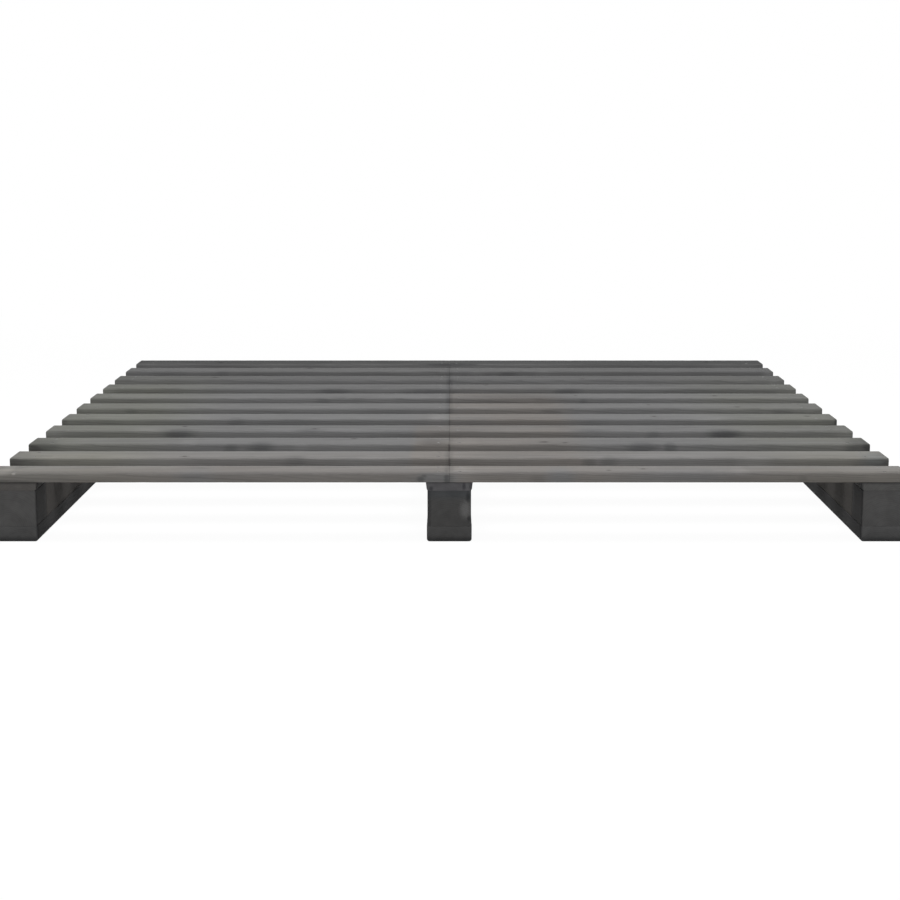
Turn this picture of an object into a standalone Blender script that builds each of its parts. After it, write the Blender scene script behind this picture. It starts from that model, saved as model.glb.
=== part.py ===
"""Pallet bed: eleven rows of half-length slats on three box runners.

Metres, +Z up. The origin is on the floor, under the middle of the bed. +X runs along the slats, towards
the right side of the bed, and +Y runs from the front end to the rear end. Each runner is a sandwich, as
on a pallet: a stringer board on top, a hollow core of blocks and planks, and a thick skid on the floor.
"""

import math

import bmesh
import bpy
from mathutils import Matrix, Vector

# Platform
BED_WIDTH = 2.000
BED_LENGTH = 2.000

# Slats: each row is two boards that meet over the centre runner
SLAT_ROWS = 11
SLAT_WIDTH = 0.095
SLAT_THICKNESS = 0.020
SLAT_EDGE_RADIUS = 0.004
SEAM_GAP = 0.0006

# Runner sections, from the top board down
STRINGER_WIDTH = 0.102
STRINGER_THICKNESS = 0.019
CORE_WIDTH = 0.095
CORE_HEIGHT = 0.078
SKID_WIDTH = 0.098
SKID_THICKNESS = 0.034
BOARD_EDGE_RADIUS = 0.001
STRINGER_LOWER_RADIUS = 0.007
SKID_LOWER_RADIUS = 0.006

# Runner layout: a small step back from the ends of the bed and from the ends of the slats
RUNNER_SETBACK = 0.004
RUNNER_INSET = 0.001

# Core pieces
END_BLOCK_LENGTH = 0.100
PLANK_THICKNESS = 0.020
SPACER_LENGTH = 0.120
SPACERS_PER_RUNNER = 2

# Space left between two pieces that touch in the real bed
JOINT_GAP = 0.0003

# Countersunk screws, driven up through the skid into the blocks and spacers
SCREW_SHANK_DIAMETER = 0.005
SCREW_HEAD_DIAMETER = 0.0095
SCREW_HEAD_HEIGHT = 0.004
SCREW_TIP_DIAMETER = 0.001
SCREW_TIP_LENGTH = 0.008
SCREW_SINK = 0.001
SCREW_CLEARANCE = 0.0003
SCREW_BITE_SHARE = 0.6
DRIVE_SPAN_SHARE = 0.55
DRIVE_SLOT_SHARE = 0.12
DRIVE_DEPTH_SHARE = 0.55

# How far a cutter runs past the face that it opens
CUT_OVERRUN = 0.002

# Steps round a board's edge, sides of a round piece, and the angle above which an edge stays sharp
EDGE_SEGMENTS = 3
ROUND_SIDES = 16
SMOOTH_ANGLE = math.radians(35)

# The way that a board's grain runs
ACROSS_BED = Vector((1.0, 0.0, 0.0))
ALONG_BED = Vector((0.0, 1.0, 0.0))

# Heights of the layers above the skid
CORE_BASE = SKID_THICKNESS + JOINT_GAP
STRINGER_BASE = CORE_BASE + CORE_HEIGHT + JOINT_GAP
SLAT_BASE = STRINGER_BASE + STRINGER_THICKNESS + JOINT_GAP

# Plan layout
SLAT_PITCH = (BED_LENGTH - SLAT_WIDTH) / (SLAT_ROWS - 1)
SLAT_LENGTH = (BED_WIDTH - SEAM_GAP) / 2
RUNNER_LENGTH = BED_LENGTH - 2 * RUNNER_SETBACK
PLANK_LENGTH = RUNNER_LENGTH - 2 * (END_BLOCK_LENGTH + JOINT_GAP)
SPACER_WIDTH = CORE_WIDTH - 2 * (PLANK_THICKNESS + JOINT_GAP)
SIDE_RUNNER_X = BED_WIDTH / 2 - RUNNER_INSET - STRINGER_WIDTH / 2

# Each runner's place across the bed, with the names of its plank towards -X and its plank towards +X
RUNNERS = {
    "left": (-SIDE_RUNNER_X, ("outer", "inner")),
    "centre": (0.0, ("left", "right")),
    "right": (SIDE_RUNNER_X, ("inner", "outer")),
}

# A screw starts just inside the skid's underside and reaches a share of the way up the core
SCREW_LENGTH = CORE_BASE - SCREW_SINK + SCREW_BITE_SHARE * CORE_HEIGHT


def clear_scene():
    for obj in list(bpy.data.objects):
        bpy.data.objects.remove(obj)


def painted(name, colour, roughness, metallic=0.0):
    """A plain material in the colour that the piece shows."""
    material = bpy.data.materials.new(name)
    material.use_nodes = True
    shader = material.node_tree.nodes["Principled BSDF"]
    shader.inputs["Base Color"].default_value = (*colour, 1.0)
    shader.inputs["Roughness"].default_value = roughness
    shader.inputs["Metallic"].default_value = metallic
    return material


def sub_assembly(name, location=(0.0, 0.0, 0.0)):
    """An empty that carries the pieces of one sub-assembly."""
    obj = bpy.data.objects.new(name, None)
    obj.location = location
    bpy.context.scene.collection.objects.link(obj)
    return obj


def piece(name, mesh, parent, location, material):
    obj = bpy.data.objects.new(name, mesh)
    bpy.context.scene.collection.objects.link(obj)
    obj.parent = parent
    obj.location = location
    obj.data.materials.clear()
    obj.data.materials.append(material)
    return obj


def cutter(name, mesh, parent, location):
    """A helper that a Boolean subtracts. It never shows."""
    obj = bpy.data.objects.new(name, mesh)
    bpy.context.scene.collection.objects.link(obj)
    obj.parent = parent
    obj.location = location
    obj.hide_render = True
    obj.display_type = "WIRE"
    return obj


def subtract(obj, tool):
    cut = obj.modifiers.new("cut_" + tool.name, "BOOLEAN")
    cut.operation = "DIFFERENCE"
    cut.solver = "EXACT"
    cut.object = tool


def mesh_from(bm, name):
    mesh = bpy.data.meshes.new(name)
    bm.to_mesh(mesh)
    bm.free()
    return mesh


def rounded_section(width, height, lower_radius, upper_radius):
    """A board's cross-section as (across, up) points, centred across and standing on zero."""
    points = []
    for corner, (side, top) in enumerate(((1, 0), (1, 1), (-1, 1), (-1, 0))):
        radius = upper_radius if top else lower_radius
        across = side * (width / 2 - radius)
        up = height - radius if top else radius
        for step in range(EDGE_SEGMENTS + 1):
            angle = (corner - 1 + step / EDGE_SEGMENTS) * math.pi / 2
            points.append((across + radius * math.cos(angle), up + radius * math.sin(angle)))
    return points


def prism_mesh(name, outline, path):
    """The solid that a flat outline sweeps as it moves along the vector path."""
    bm = bmesh.new()
    face = bm.faces.new([bm.verts.new(point) for point in outline])
    grown = bmesh.ops.extrude_face_region(bm, geom=[face])
    moved = [item for item in grown["geom"] if isinstance(item, bmesh.types.BMVert)]
    bmesh.ops.translate(bm, verts=moved, vec=path)
    bmesh.ops.recalc_face_normals(bm, faces=bm.faces)
    mesh = mesh_from(bm, name)
    mesh.shade_smooth()
    mesh.set_sharp_from_angle(angle=SMOOTH_ANGLE)
    return mesh


def board_mesh(name, width, height, radii, direction, length):
    """A planed board with rounded long edges and square-sawn ends, centred in plan, standing on z = 0.

    The radii are those of its lower edges and of its upper edges.
    """
    start = direction * (-length / 2)
    across = Vector((0.0, 0.0, 1.0)).cross(direction)
    outline = []
    for offset, up in rounded_section(width, height, *radii):
        point = start + across * offset
        outline.append((point.x, point.y, up))
    return prism_mesh(name, outline, direction * length)


def turned_mesh(name, profile):
    """A solid of revolution about Z. The profile is (radius, height) pairs from the bottom to the top."""
    bm = bmesh.new()
    rings = []
    for radius, height in profile:
        ring = []
        for side in range(ROUND_SIDES):
            angle = 2 * math.pi * side / ROUND_SIDES
            ring.append(bm.verts.new((radius * math.cos(angle), radius * math.sin(angle), height)))
        rings.append(ring)
    for lower, upper in zip(rings, rings[1:]):
        for side in range(ROUND_SIDES):
            following = (side + 1) % ROUND_SIDES
            bm.faces.new((lower[side], lower[following], upper[following], upper[side]))
    bm.faces.new(reversed(rings[0]))
    bm.faces.new(rings[-1])
    mesh = mesh_from(bm, name)
    mesh.shade_smooth()
    mesh.set_sharp_from_angle(angle=SMOOTH_ANGLE)
    return mesh


def cross_mesh(name, span, width, bottom, top):
    """An upright prism with a plus-shaped section, which cuts a cross-head recess."""
    corners = [
        Vector((span / 2, -width / 2, bottom)),
        Vector((span / 2, width / 2, bottom)),
        Vector((width / 2, width / 2, bottom)),
    ]
    outline = []
    for turn in range(4):
        quarter_turns = Matrix.Rotation(turn * math.pi / 2, 3, "Z")
        outline.extend(quarter_turns @ corner for corner in corners)
    return prism_mesh(name, outline, Vector((0.0, 0.0, top - bottom)))


def screw_profile(clearance):
    """A countersunk screw with its head's face on z = 0, or the hole that it fits with that clearance."""
    head = SCREW_HEAD_DIAMETER / 2 + clearance
    shank = SCREW_SHANK_DIAMETER / 2 + clearance
    tip = SCREW_TIP_DIAMETER / 2 + clearance
    return [
        (head, 0.0),
        (shank, SCREW_HEAD_HEIGHT),
        (shank, SCREW_LENGTH - SCREW_TIP_LENGTH),
        (tip, SCREW_LENGTH + clearance),
    ]


def screw_hole_profile():
    """The screw's outline with its clearance, opened down past the skid's underside."""
    profile = screw_profile(SCREW_CLEARANCE)
    mouth_radius = profile[0][0]
    return [(mouth_radius, -SCREW_SINK - CUT_OVERRUN)] + profile


def build_slats(wood):
    """Two boards a row, from the front row to the rear row. They meet over the centre runner."""
    deck = sub_assembly("slat_deck")
    radii = (SLAT_EDGE_RADIUS, SLAT_EDGE_RADIUS)
    mesh = board_mesh("slat", SLAT_WIDTH, SLAT_THICKNESS, radii, ACROSS_BED, SLAT_LENGTH)
    slat_x = (SEAM_GAP + SLAT_LENGTH) / 2
    front_y = (SLAT_WIDTH - BED_LENGTH) / 2
    for row in range(SLAT_ROWS):
        y = front_y + row * SLAT_PITCH
        for side, x in (("left", -slat_x), ("right", slat_x)):
            piece(f"slat_{row + 1:02d}_{side}", mesh, deck, (x, y, SLAT_BASE), wood)


def core_block_places(wood, bare_wood):
    """The pieces of one core that take the skid's screws, as name, y, width, length and material."""
    end_y = (RUNNER_LENGTH - END_BLOCK_LENGTH) / 2
    places = [
        ("front_block", -end_y, CORE_WIDTH, END_BLOCK_LENGTH, wood),
        ("rear_block", end_y, CORE_WIDTH, END_BLOCK_LENGTH, wood),
    ]
    for number in range(1, SPACERS_PER_RUNNER + 1):
        y = PLANK_LENGTH * (number / (SPACERS_PER_RUNNER + 1) - 0.5)
        places.append((f"spacer_{number}", y, SPACER_WIDTH, SPACER_LENGTH, bare_wood))
    return places


def build_runner(side, x, plank_names, wood, bare_wood, steel):
    """One runner along Y: skid, core and stringer, with the screws that hold the skid to the core."""
    name = f"{side}_runner"
    runner = sub_assembly(name, (x, 0.0, 0.0))

    def board(part, width, height, lower_radius, length, seat, material):
        mesh = board_mesh(part, width, height, (lower_radius, BOARD_EDGE_RADIUS), ALONG_BED, length)
        return piece(f"{name}_{part}", mesh, runner, seat, material)

    on_floor = (0.0, 0.0, 0.0)
    skid = board("skid", SKID_WIDTH, SKID_THICKNESS, SKID_LOWER_RADIUS, RUNNER_LENGTH, on_floor, wood)
    on_core = (0.0, 0.0, STRINGER_BASE)
    lower_radius = STRINGER_LOWER_RADIUS
    board("stringer", STRINGER_WIDTH, STRINGER_THICKNESS, lower_radius, RUNNER_LENGTH, on_core, wood)

    plank_x = (CORE_WIDTH - PLANK_THICKNESS) / 2
    for plank_name, x_offset in zip(plank_names, (-plank_x, plank_x)):
        part = f"{plank_name}_plank"
        on_skid = (x_offset, 0.0, CORE_BASE)
        board(part, PLANK_THICKNESS, CORE_HEIGHT, BOARD_EDGE_RADIUS, PLANK_LENGTH, on_skid, wood)

    screw_mesh = turned_mesh("skid_screw", screw_profile(0.0))
    hole_mesh = turned_mesh("screw_hole", screw_hole_profile())
    drive_mesh = cross_mesh(
        "screw_drive",
        SCREW_HEAD_DIAMETER * DRIVE_SPAN_SHARE,
        SCREW_HEAD_DIAMETER * DRIVE_SLOT_SHARE,
        -CUT_OVERRUN,
        SCREW_HEAD_HEIGHT * DRIVE_DEPTH_SHARE,
    )
    blocks = core_block_places(wood, bare_wood)
    for number, (part, y, width, length, material) in enumerate(blocks, 1):
        on_skid = (0.0, y, CORE_BASE)
        block = board(part, width, CORE_HEIGHT, BOARD_EDGE_RADIUS, length, on_skid, material)
        seat = (0.0, y, SCREW_SINK)
        hole = cutter(f"{name}_hole_{number}", hole_mesh, runner, seat)
        subtract(skid, hole)
        subtract(block, hole)
        screw = piece(f"{name}_skid_screw_{number}", screw_mesh, runner, seat, steel)
        drive = cutter(f"{name}_drive_{number}", drive_mesh, runner, seat)
        subtract(screw, drive)


def main():
    clear_scene()
    slat_wood = painted("grey_stained_slats", (0.20, 0.19, 0.18), 0.62)
    runner_wood = painted("dark_stained_runners", (0.065, 0.064, 0.063), 0.68)
    bare_wood = painted("bare_softwood", (0.42, 0.30, 0.18), 0.75)
    steel = painted("zinc_plated_screws", (0.55, 0.56, 0.57), 0.35, 1.0)
    build_slats(slat_wood)
    for side, (x, plank_names) in RUNNERS.items():
        build_runner(side, x, plank_names, runner_wood, bare_wood, steel)


main()
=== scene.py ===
"""The looks of the pallet bed: grey-stained pine boards, their screws, studio light and the camera.

Metres, +Z up, in the frame's own axes: +X along the slats towards the right side of the bed, +Y from the
front end to the rear end. Every board is built along its own X axis, so that its grain runs along X.
"""

import math
import random

import bmesh
import bpy
from mathutils import Matrix, Vector, noise


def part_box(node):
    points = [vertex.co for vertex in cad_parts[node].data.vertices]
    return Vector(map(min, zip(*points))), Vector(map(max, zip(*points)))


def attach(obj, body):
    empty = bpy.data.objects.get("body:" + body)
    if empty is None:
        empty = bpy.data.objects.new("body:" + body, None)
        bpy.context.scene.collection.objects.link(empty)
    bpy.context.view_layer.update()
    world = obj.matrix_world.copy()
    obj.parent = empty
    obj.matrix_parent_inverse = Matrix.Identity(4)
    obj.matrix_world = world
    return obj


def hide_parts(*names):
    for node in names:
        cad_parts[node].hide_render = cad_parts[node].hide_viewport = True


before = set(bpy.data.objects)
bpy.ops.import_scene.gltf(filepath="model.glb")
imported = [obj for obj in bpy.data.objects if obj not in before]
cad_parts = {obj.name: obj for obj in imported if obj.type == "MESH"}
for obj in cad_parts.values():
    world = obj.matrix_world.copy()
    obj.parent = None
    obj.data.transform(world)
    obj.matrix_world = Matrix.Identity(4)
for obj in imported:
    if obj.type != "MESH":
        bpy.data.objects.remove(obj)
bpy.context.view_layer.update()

SEED = 11
ROWS = 11

# Camera, which stands in front of the bed and looks a little down
CAMERA_PLACE = Vector((0.0016, -4.9336, 0.8854))
CAMERA_PITCH = math.radians(9.833)
CAMERA_LENS = 73.74
SENSOR_WIDTH = 36.0

# Light
OVERHEAD = {"place": (1.15, -0.9, 3.4), "aim": (1.15, -0.9, 0.0), "size": (1.4, 1.4), "power": 42.0}
FRONT_FILL = {"place": (0.0, -5.0, 2.2), "aim": (0.0, -1.0, 0.1), "size": (3.0, 2.0), "power": 54.0}
BACK_FILL = {"place": (0.0, 5.0, 2.2), "aim": (0.0, 1.0, 0.1), "size": (5.0, 2.0), "power": 38.0}
SIDE_FILL = {"place": (5.0, 0.0, 2.2), "aim": (1.0, 0.0, 0.1), "size": (3.0, 2.0), "power": 14.0}
SKY_LIGHT = 0.27
FLOOR_BOUNCE = 0.20
FLOOR_SHADE = 0.06
FLOOR_WHITE = 1.02
FLOOR_RADIUS = 9.0
FLOOR_CLEAR = (2.2, 4.5)
FLOOR_DEPTH = 0.0001

# Boards: edges, wear and splits
SLAT_EDGES = {"lower": 0.001, "upper": 0.004}
SLAT_END_RADII = {"outer": 0.004, "seam": 0.0007}
ARC_STEPS = 4
END_STEPS = 3
FLAT_STEP = 0.012
LENGTH_STEP = 0.009
WEAR_DEPTH = 0.0003
WEAR_LENGTH = 0.035
DENT_DEPTHS = (0.0002, 0.0006)
DENT_LENGTHS = (0.004, 0.012)
DENTS_PER_METRE = 2.0
DENT_REACH = 3.0
SPLIT_SHARE = 0.35
SPLIT_WIDTH = 0.0009
SPLIT_LENGTHS = (0.015, 0.05)
SPLIT_SIDES = (-0.016, 0.016)
SPLIT_SLANTS = (-0.06, 0.06)
SMOOTH_ANGLE = math.radians(35)

# How far cutters stick out of what they cut
OVERRUN = 0.002

# Places in the noise: each board draws its own for its grain and its wear, and its edges lie apart there
GRAIN_OFFSETS = (0.0, 40.0)
WEAR_OFFSETS = (0.0, 100.0)
EDGE_OFFSET = 7.0

# Slat screws: two at each end of each slat, into the runner below
SCREW_HEAD = 0.0084
SCREW_SHANK = 0.0042
SCREW_CONE = 0.0036
SCREW_SINKS = (0.0002, 0.0006)
SCREW_FIT = 0.0002
SCREW_SPREAD = 0.028
SCREW_FROM_SEAM = 0.024
SCREW_JITTER = (-0.0015, 0.0015)
SCREW_HOLE_REACH = 0.1
DRIVE_SPAN = 0.0046
DRIVE_SLOT = 0.0011
DRIVE_DEPTH = 0.0019
ROUND_SIDES = 20

# Skid screws, whose places come from the frame
SKID_SCREW_SHANK = 0.005
SKID_SCREW_HEAD_HEIGHT = 0.004
SKID_SCREW_TIP = 0.008

# How pale each row of slats is, from the front, how pale its upper face is against the rest of it, how
# much darker its ends are, and how far that reaches into a board. Besides each row's own tone, the row
# tones paint the light falling off towards the rear, and the upper-face tones are painted light and shade
# on the upper faces. The darker outer ends, over the runners, are painted shade.
ROW_TONES_AND_LIGHT = (1.15, 1.15, 1.07, 0.97, 0.955, 0.99, 0.93, 0.84, 0.90, 0.71, 0.82)
TOP_LIGHT_TONES = (0.81, 0.85, 0.74, 0.80, 0.88, 0.81, 0.87, 0.85, 0.68, 0.94, 0.70)
ROW_END_DARKENINGS = (0.15, 0.75, 0.90, 0.0, 0.40, 0.25, 0.10, 0.0, 0.10, 0.0, 0.30)
END_DARK_REACHES = {"outer": 0.045, "seam": 0.004, "runner": 0.012}

# Stains, as (light, dark) colours
SLAT_STAIN = ((0.275, 0.275, 0.275), (0.150, 0.150, 0.150))
RUNNER_STAIN = ((0.115, 0.115, 0.115), (0.068, 0.068, 0.068))
BARE_PINE = ((0.56, 0.41, 0.25), (0.38, 0.25, 0.14))

# Colours of the knots, tints that other colours are multiplied by, and the tone of the runners' ends, paler
# than their sides as painted light for the lit fronts against the shaded sides
HEART_COLOUR = (0.060, 0.050, 0.043, 1.0)
RIM_COLOUR = (0.034, 0.031, 0.030, 1.0)
HALO_TINT = (0.62, 0.60, 0.58, 1.0)
MARK_TINT = (0.50, 0.51, 0.53, 1.0)
RUBBED_TINT = (1.95, 1.95, 1.95, 1.0)
WORN_TINT = (1.30, 1.22, 1.12, 1.0)
WARM_TINT = (1.065, 0.998, 0.937, 1.0)
OLIVE_TINT = (1.015, 1.025, 0.925, 1.0)
COOL_TINT = (0.925, 1.0, 1.075, 1.0)
END_DARK_TINT = (0.60, 0.59, 0.60, 1.0)
SLAT_END_TINT = (0.50, 0.49, 0.48, 1.0)
RUNNER_END_LIGHT = 1.42
WHITE = (1.0, 1.0, 1.0, 1.0)

# Screws, as (dark, light) colours: those of the slats were stained over with the wood
STAINED_STEEL = ((0.15, 0.15, 0.15), (0.25, 0.25, 0.25))
ZINC = ((0.34, 0.34, 0.345), (0.60, 0.60, 0.61))

# How far from the middle seam the warm zone has faded out, by side, the share of that at which it starts
# to fade, and where the olive zone fades in
SEAM_REACHES = {"left": 0.10, "right": 0.36}
SEAM_FADE = (0.7, 1.0)
OUTER_ZONE = (0.55, 0.85)

# How warm the front row is, how much less each row behind it is, how warm slats are at the seam and how
# olive at the outer end, the rows between which those two show, and over how many rows they fade in and out
FRONT_WARMTH = 0.75
WARMTH_LOSS = 0.36
SEAM_WARMTHS = {"left": 0.9, "right": 1.0}
END_OLIVES = {"left": 1.0, "right": 0.75}
SEAM_WARM_ROWS = {"left": (0.4, 5.5), "right": (0.4, 8.5)}
SEAM_WARM_FADES = (2.0, 2.0)
OLIVE_ROWS = (0.0, 10.0)
OLIVE_FADES = (3.0, 2.0)

# How much the boards differ in tone from one another, the seam in darkness, and the runners in warmth
SLAT_VARIATION = (0.97, 1.03)
RUNNER_VARIATION = (0.96, 1.04)
SEAM_VARIATION = (0.7, 1.3)
RUNNER_WARMTHS = (0.0, 0.2)

# How much less the ends darken on the upper face, how unevenly the darkening reaches along the grain, and
# where that fades
TOP_END_DARK_LOSS = 0.75
END_DARK_NOISE = (0.3, 0.7)
END_DARK_STRETCHES = (0.5, 1.5)
END_DARK_FADE = (0.2, 1.0)
RUNNER_END_DARK = 0.5

# Strength of the wood's gloss, which is faint because the stain is matte. The rear row has none.
WOOD_SHINE = 0.02
REAR_ROW_SHINE = 0.0

# The noise that each pattern comes from: its scale in cells a metre, along the grain, across it and up,
# and its detail
FIBRE = ((22.0, 800.0, 800.0), 3.0)
STREAK = ((1.8, 50.0, 50.0), 3.0)
BLOTCH = ((5.0, 16.0, 16.0), 3.0)
BEND = ((1.5, 4.0, 4.0), 1.0)
RIPPLE = ((9.0, 55.0, 55.0), 2.0)
RUBBED_PATCH = ((16.0, 60.0, 60.0), 3.0)
DRIFT = ((2.6, 9.0, 9.0), 2.0)
UNEVEN_END_DARK = ((6.0, 120.0, 120.0), 2.0)
RAGGED_EDGE = ((70.0, 260.0, 260.0), 2.0)
KNOT_GRAIN = ((500.0, 900.0, 900.0), 2.0)
CLOUD = ((420.0, 420.0, 420.0), 2.0)
GRIT = ((2600.0, 2600.0, 2600.0), 2.0)

# How the patterns change the wood's tone, its roughness and its height
MIDDLE_TONE = 0.60
TONE_CHANGES = {"streak": 0.85, "blotch": 0.60, "fibre": 0.50, "late": -0.30}
MIDDLE_ROUGHNESS = 0.66
ROUGHNESS_CHANGES = {"streak": 0.16, "late": -0.07, "wear": -0.08}
HEIGHTS = {"fibre": 0.55, "late": 0.40, "knot": 0.35}
WOOD_BUMP = {"Strength": 0.55, "Distance": 0.0004}
METAL_BUMP = {"Strength": 0.3, "Distance": 0.0001}
METAL_CLOUDS = (0.3, 0.7)
METAL_ROUGHNESSES = (0.34, 0.55)

# Between which noise values the warm and olive tints drift, and how strong they are at either end
DRIFT_NOISE = (0.25, 0.70)
DRIFT_STRENGTHS = (0.6, 1.25)

# Between which parts of its normal along X or Z a surface turns into the end or the top of a board
FACING = (0.35, 0.85)

# The middle of the noise on each axis, and the axes across the grain
HALVES = (0.5, 0.5, 0.5)
ACROSS_GRAIN = (0.0, 1.0, 1.0)

# Rubbed long edges: width of the band, where the noise breaks it, and its strength
RUBBED_BAND = (0.0006, 0.0036)
RUBBED_NOISE = (0.48, 0.66)
RUBBED_STRENGTH = 0.3

# Growth rings: their spacing and slope, how far they bend, and how the dark late wood rises and falls
RING_SPACING = 0.0042
RING_TAPER = 0.03
RING_BEND = (0.0, 0.022, 0.013)
RING_RIPPLE = (0.0, 0.0030, 0.0030)
RING_PUSH = 2.2 * RING_SPACING
LATE_RISE = (0.25, 0.90)
LATE_FALL = (0.92, 1.0)
FAINTEST_RING = 0.3
PITH_SIDES = (-0.03, 0.03)
PITH_DEPTHS = (0.022, 0.065)

# Oval marks: how ragged they are, and between how many half sizes from the middle their parts fade
RAGGEDNESS = (0.8, 0.9, 0.9)
MASK_FADE = (0.55, 1.05)
HALO_FADE = (0.4, 2.2)
PUSH_FADE = (0.0, 3.0)

# Half size, in board sizes, of a mark that is even over a board
MARK_COVER = 4.0

# Small knots: how many a board has, where they lie as shares of its length and width, their sizes, how
# strongly they show, and how long a runner's board has to be to have them
KNOT_COUNTS = (0, 1, 1, 2)
KNOT_LENGTH_SHARES = (-0.46, 0.46)
KNOT_WIDTH_SHARES = (-0.30, 0.38)
KNOT_HALF_WIDTHS = (0.004, 0.008)
KNOT_STRETCHES = (1.1, 1.6)
KNOT_STRENGTH = 0.75
KNOT_HALO = 0.75
KNOT_COVER = 0.85
KNOT_HEART = (0.7, 1.0)
LONG_BOARD = 1.0

# Shapes of marks at a slat's front edge: how far back they reach over the top, their height above the
# middle of the slat and their half height
FACE = (0.010, 0.0, 0.009)
MID_FACE = (0.010, -0.001, 0.008)
LOW_FACE = (0.010, -0.002, 0.010)
TOP = (0.060, 0.012, 0.003)
EDGE = (0.060, 0.010, 0.004)
WHOLE = (0.060, 0.0, 0.012)

# Dark marks there: row, metres from the middle of the bed, half length, shape and strength. Those at the
# slats' outer ends, 0.93 m or more from the middle, are painted shade over the runners.
SLAT_MARKS = (
    (1, -0.558, 0.026, (0.012, 0.006, 0.005), 0.30),
    # Painted shade along the upper front edge of the front slat, for the shade on its rounded edge
    (1, 0.0, 5.0, (0.017, 0.0095, 0.0023), 0.55),
    (1, -0.062, 0.006, (0.010, -0.003, 0.005), 0.70),
    (1, -0.055, 0.005, (0.010, 0.006, 0.004), 0.65),
    (1, -0.006, 0.004, WHOLE, 0.75),
    (1, 0.192, 0.012, (0.010, -0.002, 0.006), 0.25),
    (1, 0.563, 0.016, (0.030, 0.009, 0.003), 0.42),
    (1, 0.768, 0.007, (0.010, -0.002, 0.006), 0.25),
    (1, -0.955, 0.045, (0.006, -0.010, 0.004), 0.60),
    (2, -0.975, 0.040, LOW_FACE, 0.50),
    (2, -0.350, 0.016, (0.034, 0.002, 0.012), 0.28),
    (2, 0.200, 0.150, (0.070, 0.012, 0.002), 0.36),
    (2, 0.318, 0.011, (0.010, -0.001, 0.007), 0.45),
    (2, 0.362, 0.014, (0.034, 0.002, 0.012), 0.38),
    (2, 0.0, 0.050, LOW_FACE, 0.20),
    (2, 0.035, 0.022, (0.060, 0.0105, 0.003), 0.10),
    (2, 0.965, 0.034, (0.010, -0.002, 0.012), 0.50),
    (3, -0.966, 0.028, WHOLE, 0.62),
    (3, -0.998, 0.010, WHOLE, 0.25),
    (3, -0.988, 0.012, (0.060, 0.0105, 0.003), 0.40),
    (3, -0.519, 0.012, MID_FACE, 0.45),
    (3, -0.448, 0.020, (0.030, 0.002, 0.012), 0.55),
    (3, 0.460, 0.026, (0.030, 0.002, 0.012), 0.65),
    (3, 0.524, 0.011, (0.030, 0.002, 0.012), 0.55),
    (3, -0.040, 0.024, TOP, 0.52),
    (3, -0.115, 0.040, LOW_FACE, 0.14),
    (3, 0.470, 0.090, TOP, 0.20),
    (3, 0.970, 0.022, (0.010, -0.002, 0.012), 0.70),
    (3, 0.992, 0.012, WHOLE, 0.80),
    (3, 0.972, 0.016, (0.060, 0.0105, 0.003), 0.55),
    (4, -0.671, 0.026, (0.028, 0.001, 0.011), 0.75),
    (4, -0.350, 0.026, (0.030, 0.012, 0.004), 0.48),
    (4, -0.085, 0.070, TOP, 0.18),
    (4, 0.352, 0.032, (0.030, 0.012, 0.004), 0.38),
    (4, 0.506, 0.012, MID_FACE, 0.40),
    (4, 0.680, 0.028, (0.028, 0.001, 0.011), 0.85),
    (4, 0.0, 0.045, LOW_FACE, 0.24),
    (4, 0.120, 0.140, LOW_FACE, 0.12),
    (5, -0.994, 0.010, (0.010, -0.002, 0.012), 0.20),
    (5, -0.550, 0.014, (0.026, 0.002, 0.012), 0.32),
    (5, -0.930, 0.060, (0.010, -0.001, 0.010), 0.16),
    (5, 0.300, 0.180, TOP, 0.17),
    (5, 0.365, 0.020, (0.010, -0.001, 0.010), 0.18),
    (5, 0.998, 0.004, (0.010, 0.0, 0.012), 0.80),
    (6, -0.853, 0.012, MID_FACE, 0.28),
    (6, 0.271, 0.020, MID_FACE, 0.36),
    (6, 0.894, 0.020, MID_FACE, 0.30),
    (7, -0.352, 0.015, MID_FACE, 0.32),
    (7, -0.309, 0.016, (0.030, 0.012, 0.004), 0.26),
    (7, 0.080, 0.060, FACE, 0.26),
    (7, 0.190, 0.130, (0.070, 0.012, 0.003), 0.40),
    (7, 0.372, 0.008, MID_FACE, 0.32),
    (8, -0.335, 0.034, MID_FACE, 0.62),
    (8, -0.045, 0.055, MID_FACE, 0.52),
    (8, 0.258, 0.030, (0.060, 0.006, 0.008), 0.22),
    (8, 0.340, 0.030, MID_FACE, 0.55),
    (9, 0.100, 0.160, FACE, 0.14),
    (10, -0.700, 0.014, (0.026, 0.002, 0.012), 0.28),
    (10, -0.530, 0.100, (0.010, -0.001, 0.010), 0.18),
    (10, 0.182, 0.020, MID_FACE, 0.45),
    (11, 0.0, 0.055, (0.010, 0.0095, 0.006), 0.70),
)

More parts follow.
